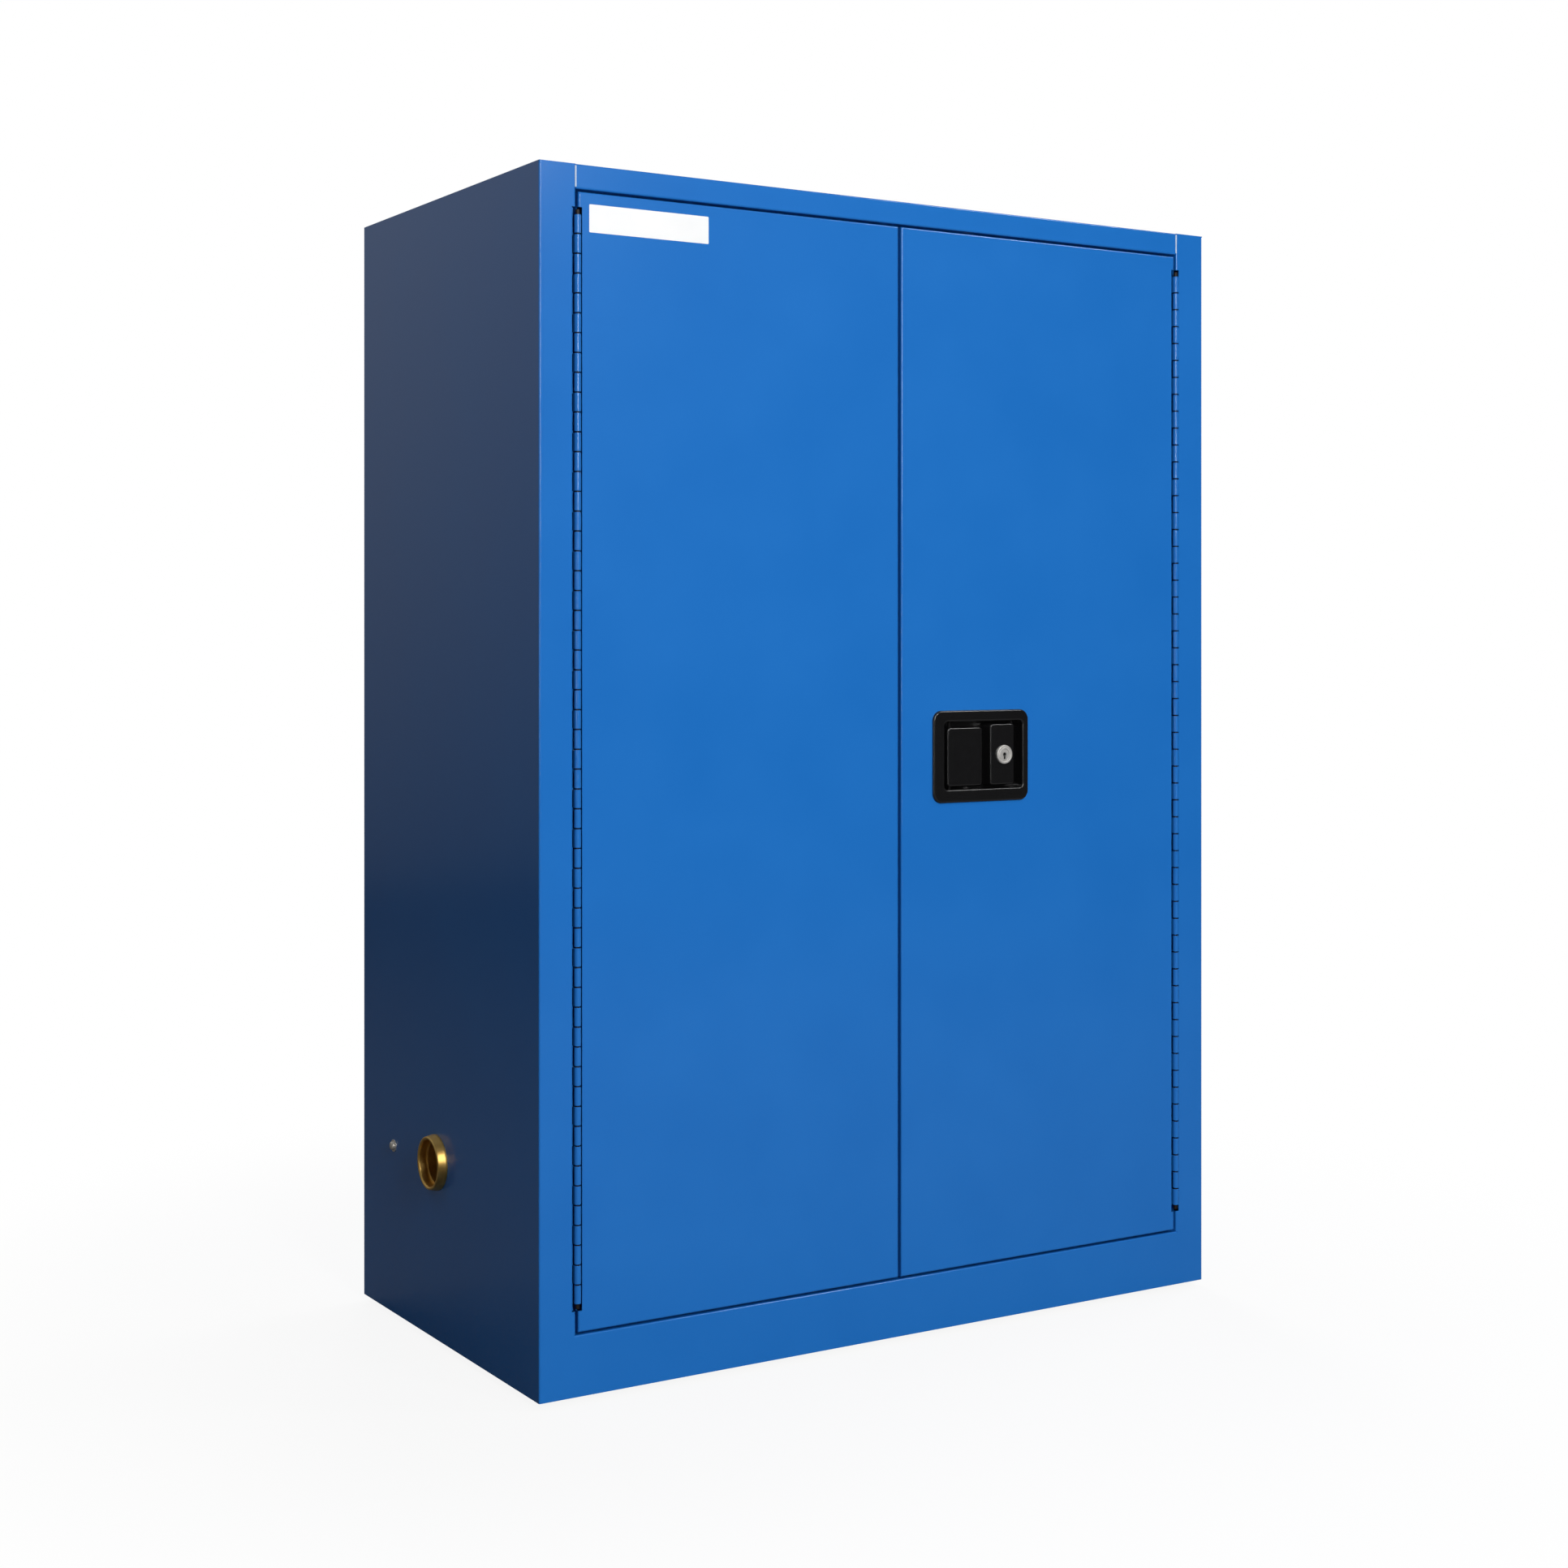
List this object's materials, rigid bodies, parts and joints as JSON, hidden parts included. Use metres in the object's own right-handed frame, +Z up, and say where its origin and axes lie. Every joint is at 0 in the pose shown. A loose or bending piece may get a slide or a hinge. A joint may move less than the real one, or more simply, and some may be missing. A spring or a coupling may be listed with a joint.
{
  "type": "corrosive storage cabinet",
  "caption": "Upright double-walled steel cabinet with hinged doors, a recessed paddle latch, a key lock, side vents, shelves with trays and a leak-proof sump.",
  "frame": {"origin": "centre of the footprint on the floor", "axes": "+X to the right as seen from the front, +Y to the back, +Z up"},
  "size_m": [1.18, 0.6215, 1.65],
  "materials": {
    "blue_powder_coat": "semi-gloss powder coat",
    "galvanised_steel": "galvanised",
    "zinc_plated_steel": "zinc plated",
    "brass": "turned",
    "black_paint": "semi-gloss",
    "chrome": "polished",
    "polyethylene": "moulded",
    "foot_plastic": "moulded",
    "nylon": "moulded"
  },
  "bodies": {
    "cabinet": {"back_left_foot": "foot_plastic", "back_left_upright": "galvanised_steel", "back_liner": "blue_powder_coat", "back_panel": "blue_powder_coat", "back_right_foot": "foot_plastic", "back_right_upright": "galvanised_steel", "base_panel": "blue_powder_coat", "bottom_door_stop": "blue_powder_coat", "bottom_rail": "blue_powder_coat", "ceiling_liner": "blue_powder_coat", "foot_bushes": "zinc_plated_steel", "front_left_foot": "foot_plastic", "front_left_upright": "galvanised_steel", "front_right_foot": "foot_plastic", "front_right_upright": "galvanised_steel", "ground_screw": "zinc_plated_steel", "ground_washer": "zinc_plated_steel", "left_flame_arrester": "zinc_plated_steel", "left_hinge_frame_leaf": "blue_powder_coat", "left_hinge_pin": "zinc_plated_steel", "left_liner": "blue_powder_coat", "left_side_panel": "blue_powder_coat", "left_vent_collar": "brass", "lower_shelf": "galvanised_steel", "lower_tray": "polyethylene", "right_flame_arrester": "zinc_plated_steel", "right_hinge_frame_leaf": "blue_powder_coat", "right_hinge_pin": "zinc_plated_steel", "right_liner": "blue_powder_coat", "right_side_panel": "blue_powder_coat", "right_vent_collar": "brass", "shelf_clips": "galvanised_steel", "sump_floor": "blue_powder_coat", "sump_tray": "polyethylene", "top_door_stop": "blue_powder_coat", "top_panel": "blue_powder_coat", "upper_shelf": "galvanised_steel", "upper_tray": "polyethylene"},
    "left_door": {"left_door_outer_pan": "blue_powder_coat", "left_door_inner_pan": "blue_powder_coat", "left_hinge_door_leaf": "blue_powder_coat"},
    "right_door": {"right_door_outer_pan": "blue_powder_coat", "right_door_inner_pan": "blue_powder_coat", "right_hinge_door_leaf": "blue_powder_coat", "latch_cup": "black_paint", "lock_housing": "chrome", "cam_stud": "zinc_plated_steel", "upper_rod_guide": "nylon", "lower_rod_guide": "nylon", "paddle_pin": "zinc_plated_steel"},
    "paddle": {"paddle": "black_paint"},
    "latch_cam": {"latch_cam": "zinc_plated_steel"},
    "upper_rod": {"upper_latch_rod": "zinc_plated_steel"},
    "lower_rod": {"lower_latch_rod": "zinc_plated_steel"},
    "lock_plug": {"lock_plug": "chrome", "lock_cam": "zinc_plated_steel"}
  },
  "joints": [
    {"name": "left_door_hinge", "type": "hinge", "parent": "cabinet", "child": "left_door", "pos_m": [-0.5204, -0.3085, 0.8585], "axis": [0, 0, -1], "range_deg": [0, 180]},
    {"name": "right_door_hinge", "type": "hinge", "parent": "cabinet", "child": "right_door", "pos_m": [0.5204, -0.3085, 0.8585], "axis": [0, 0, 1], "range_deg": [0, 180]},
    {"name": "paddle_pivot", "type": "hinge", "parent": "right_door", "child": "paddle", "pos_m": [0.09, -0.3035, 0.8465], "axis": [0, 0, -1], "range_deg": [0, 30], "stiffness_Nm_per_rad": 0.6, "springref_deg": -17.19},
    {"name": "latch_cam_turn", "type": "hinge", "parent": "right_door", "child": "latch_cam", "pos_m": [0.11103, -0.281, 0.845], "axis": [0, 1, 0], "range_deg": [0, 36]},
    {"name": "upper_rod_slide", "type": "slide", "parent": "right_door", "child": "upper_rod", "axis": [0, 0, -1], "range_m": [0, 0.0186]},
    {"name": "lower_rod_slide", "type": "slide", "parent": "right_door", "child": "lower_rod", "axis": [0, 0, 1], "range_m": [0, 0.0186]},
    {"name": "lock_turn", "type": "hinge", "parent": "right_door", "child": "lock_plug", "pos_m": [0.1865, -0.3105, 0.846], "axis": [0, 1, 0], "range_deg": [0, 90]}
  ],
  "couplings": [
    {"joint": "latch_cam_turn", "follows": "paddle_pivot", "ratio": 1.2},
    {"joint": "upper_rod_slide", "follows": "paddle_pivot", "m_per_rad": 0.035411},
    {"joint": "lower_rod_slide", "follows": "paddle_pivot", "m_per_rad": 0.035411}
  ]
}
